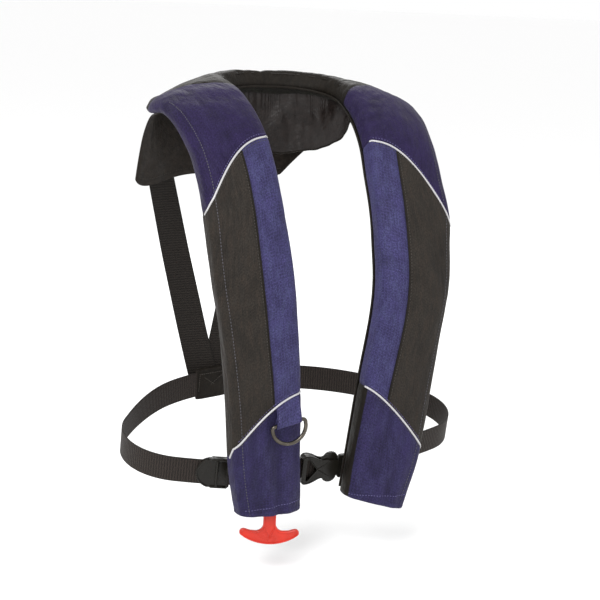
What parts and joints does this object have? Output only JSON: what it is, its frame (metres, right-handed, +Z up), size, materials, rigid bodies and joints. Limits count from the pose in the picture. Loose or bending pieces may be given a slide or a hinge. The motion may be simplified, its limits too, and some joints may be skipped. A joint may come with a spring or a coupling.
{
  "type": "inflatable life jacket",
  "caption": "Slim inflatable life jacket: padded yoke cover over a folded bladder, belt with side-release buckle, back straps, tether ring and pull handle.",
  "frame": {"origin": "middle of the neck opening at the height of the wearer's shoulders, where the yoke is carried", "axes": "+Z up the wearer's spine, the wearer faces -Y, +X towards the wearer's left"},
  "size_m": [0.4194, 0.3283, 0.5155],
  "materials": {
    "ripstop_blue": "violet-blue ripstop nylon, matt",
    "lining_black": "black woven lining, matt",
    "webbing_black": "black ribbed webbing, matt",
    "reflective_piping": "silver-grey reflective piping",
    "acetal_black": "black moulded plastic, satin",
    "ring_steel": "dull grey-brown metal, satin",
    "handle_red": "orange-red moulded plastic, semi-gloss",
    "bladder_yellow": "yellow coated bladder fabric",
    "cylinder_steel": "plated steel, satin",
    "cap_yellow": "yellow moulded plastic",
    "tube_rubber": "black rubber, matt"
  },
  "bodies": {
    "jacket": {"right_front_cover": "ripstop_blue", "left_front_cover": "ripstop_blue", "d_ring_tab": "ripstop_blue", "collar_cover": "lining_black", "right_back_panel": "lining_black", "left_back_panel": "lining_black", "collar_back_panel": "lining_black", "right_closure": "lining_black", "left_closure": "lining_black", "neck_lining": "lining_black", "back_yoke": "lining_black", "right_tunnel": "lining_black", "left_tunnel": "lining_black", "back_patch": "lining_black", "belt_webbing": "webbing_black", "front_strap": "webbing_black", "right_back_strap": "webbing_black", "left_back_strap": "webbing_black", "right_upper_piping": "reflective_piping", "right_lower_piping": "reflective_piping", "left_upper_piping": "reflective_piping", "left_lower_piping": "reflective_piping", "buckle_socket": "acetal_black", "inflator_body": "acetal_black", "manifold_stud": "acetal_black", "manifold_nut": "acetal_black", "oral_valve": "acetal_black", "bladder": "bladder_yellow", "lever_pin": "cylinder_steel", "oral_tube": "tube_rubber"},
    "ring": {"d_ring": "ring_steel"},
    "plug": {"buckle_plug": "acetal_black", "plug_strap": "webbing_black"},
    "prong_upper": {"upper_prong": "acetal_black"},
    "prong_lower": {"lower_prong": "acetal_black"},
    "slider": {"adjuster": "acetal_black"},
    "handle": {"pull_handle": "handle_red", "lanyard": "handle_red"},
    "lever": {"trip_lever": "acetal_black"},
    "pin": {"firing_pin": "cylinder_steel"},
    "cylinder": {"co2_cylinder": "cylinder_steel"},
    "cap": {"sensor_cap": "cap_yellow"},
    "poppet": {"valve_poppet": "handle_red"},
    "valve_cap": {"dust_cap": "tube_rubber"}
  },
  "joints": [
    {"name": "ring_swing", "type": "hinge", "parent": "jacket", "child": "ring", "pos_m": [-0.059, -0.1626, -0.349], "axis": [0.9781, 0, 0.2079], "range_deg": [-80, 0]},
    {"name": "buckle_release", "type": "slide", "parent": "jacket", "child": "plug", "axis": [1, 0, 0], "range_m": [0, 0.028]},
    {"name": "upper_prong_squeeze", "type": "hinge", "parent": "plug", "child": "prong_upper", "pos_m": [0.0285, -0.10694, -0.41628], "axis": [0, 0.9863, 0.165], "range_deg": [-5, 0], "stiffness_Nm_per_rad": 0.1},
    {"name": "lower_prong_squeeze", "type": "hinge", "parent": "plug", "child": "prong_lower", "pos_m": [0.0285, -0.10413, -0.43304], "axis": [0, 0.9863, 0.165], "range_deg": [0, 5], "stiffness_Nm_per_rad": 0.1},
    {"name": "belt_adjust", "type": "hinge", "parent": "jacket", "child": "slider", "pos_m": [0.01, 0.30636, -0.35573], "axis": [0, -0.165, 0.9863], "range_deg": [-2, 2]},
    {"name": "handle_pull", "type": "slide", "parent": "jacket", "child": "handle", "axis": [0, 0, -1], "range_m": [0, 0.033]},
    {"name": "lever_trip", "type": "hinge", "parent": "jacket", "child": "lever", "pos_m": [-0.0685, -0.1448, -0.356], "axis": [0, 1, 0], "range_deg": [0, 100]},
    {"name": "pin_strike", "type": "slide", "parent": "jacket", "child": "pin", "axis": [0, 0, 1], "range_m": [0, 0.004]},
    {"name": "cylinder_turn", "type": "hinge", "parent": "jacket", "child": "cylinder", "pos_m": [-0.087, -0.1454, -0.3], "axis": [0, 0, 1], "continuous": true},
    {"name": "cap_turn", "type": "hinge", "parent": "jacket", "child": "cap", "pos_m": [-0.087, -0.1454, -0.407], "axis": [0, 0, 1], "continuous": true},
    {"name": "poppet_press", "type": "slide", "parent": "jacket", "child": "poppet", "axis": [0, 0, -1], "range_m": [0, 0.003], "stiffness_N_per_m": 200},
    {"name": "valve_cap_pull", "type": "slide", "parent": "jacket", "child": "valve_cap", "axis": [0, 0, 1], "range_m": [0, 0.014]}
  ],
  "couplings": [
    {"joint": "lower_prong_squeeze", "follows": "upper_prong_squeeze", "ratio": -1},
    {"joint": "lever_trip", "follows": "handle_pull", "rad_per_m": 52.5},
    {"joint": "pin_strike", "follows": "handle_pull", "ratio": 0.12}
  ]
}
